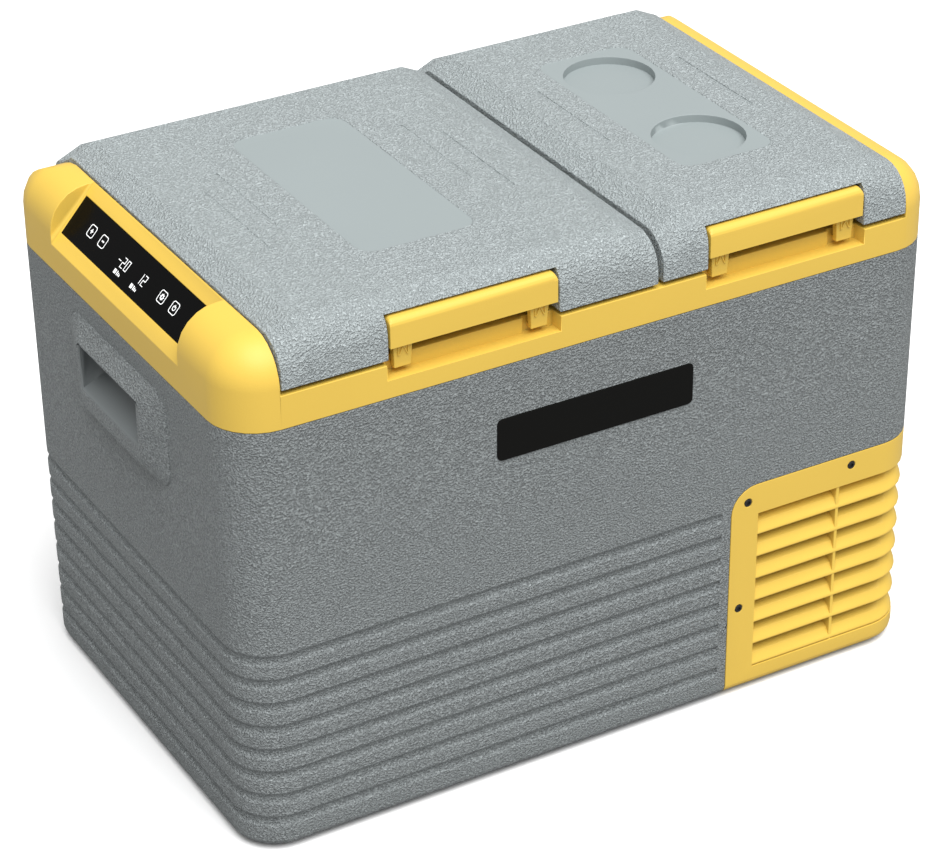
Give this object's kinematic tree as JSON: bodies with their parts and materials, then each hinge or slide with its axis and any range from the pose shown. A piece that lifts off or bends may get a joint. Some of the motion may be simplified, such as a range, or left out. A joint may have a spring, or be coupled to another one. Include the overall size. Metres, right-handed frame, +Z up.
{
  "type": "compressor cooler fridge",
  "caption": "Portable compressor cooler fridge with hinged twin lids, pull latches, moulded end handles, a slanted touch panel and a louvred machine bay.",
  "frame": {"origin": "middle of the base on the surface that the feet stand on", "axes": "+X along the front from the control panel end to the vent end, +Y from the front to the hinges at the back, +Z up"},
  "size_m": [0.68, 0.4228, 0.479],
  "materials": {
    "grey_shell": "fine leather-grain moulded grey plastic",
    "yellow_plastic": "satin warm yellow plastic",
    "black_plate": "satin black plate, bare",
    "panel_glass": "glossy black touch panel",
    "black_plastic": "satin black plastic",
    "white_liner": "smooth white food-safe plastic",
    "foam": "rigid insulating foam",
    "rubber": "matt black rubber",
    "seal": "soft grey seal",
    "steel": "plain bright steel",
    "dark_screw": "blackened steel",
    "aluminium": "mill aluminium",
    "black_enamel": "black enamelled steel",
    "circuit_board": "green circuit board"
  },
  "bodies": {
    "cabinet": {"outer_shell": "grey_shell", "badge_plate": "black_plate", "vent_grille": "yellow_plastic", "grille_screw_front_corner": "dark_screw", "grille_screw_front_top": "dark_screw", "grille_screw_front_side": "dark_screw", "grille_screw_back_corner": "dark_screw", "grille_screw_back_top": "dark_screw", "grille_screw_back_side": "dark_screw", "power_inlet": "black_plastic", "inlet_contact_left": "steel", "inlet_contact_right": "steel", "top_frame": "yellow_plastic", "control_glass": "panel_glass", "control_board": "circuit_board", "liner_large": "white_liner", "liner_small": "white_liner", "evaporator": "aluminium", "bay_partition": "aluminium", "foam_insulation": "foam", "base_plate": "steel", "compressor": "black_enamel", "compressor_grommet_1": "rubber", "compressor_grommet_2": "rubber", "compressor_grommet_3": "rubber", "compressor_grommet_4": "rubber", "fan_frame": "black_plastic", "condenser": "aluminium", "driver_box": "black_plastic", "foot_1": "rubber", "foot_2": "rubber", "foot_3": "rubber", "foot_4": "rubber", "hinge_pin_left_a": "steel", "hinge_pin_left_b": "steel", "hinge_pin_right_a": "steel", "hinge_pin_right_b": "steel"},
    "lid_left": {"lid_left_cover": "grey_shell", "lid_left_tray": "white_liner", "lid_left_foam": "foam", "lid_left_gasket": "seal", "latch_pin_left": "steel"},
    "lid_right": {"lid_right_cover": "grey_shell", "lid_right_tray": "white_liner", "lid_right_foam": "foam", "lid_right_gasket": "seal", "latch_pin_right": "steel"},
    "latch_left": {"latch_left": "yellow_plastic"},
    "latch_right": {"latch_right": "yellow_plastic"},
    "fan": {"fan_rotor": "black_plastic"}
  },
  "joints": [
    {"name": "lid_left_hinge", "type": "hinge", "parent": "cabinet", "child": "lid_left", "pos_m": [-0.1174, 0.2003, 0.4404], "axis": [-1, 0, 0], "range_deg": [0, 95]},
    {"name": "lid_right_hinge", "type": "hinge", "parent": "cabinet", "child": "lid_right", "pos_m": [0.1749, 0.2003, 0.4404], "axis": [-1, 0, 0], "range_deg": [0, 95]},
    {"name": "latch_left_pivot", "type": "hinge", "parent": "lid_left", "child": "latch_left", "pos_m": [-0.1174, -0.2028, 0.457], "axis": [-1, 0, 0], "range_deg": [0, 35]},
    {"name": "latch_right_pivot", "type": "hinge", "parent": "lid_right", "child": "latch_right", "pos_m": [0.1749, -0.2028, 0.457], "axis": [-1, 0, 0], "range_deg": [0, 35]},
    {"name": "fan_spin", "type": "hinge", "parent": "cabinet", "child": "fan", "pos_m": [0.268, 0.07, 0.0776], "axis": [1, 0, 0], "continuous": true}
  ]
}
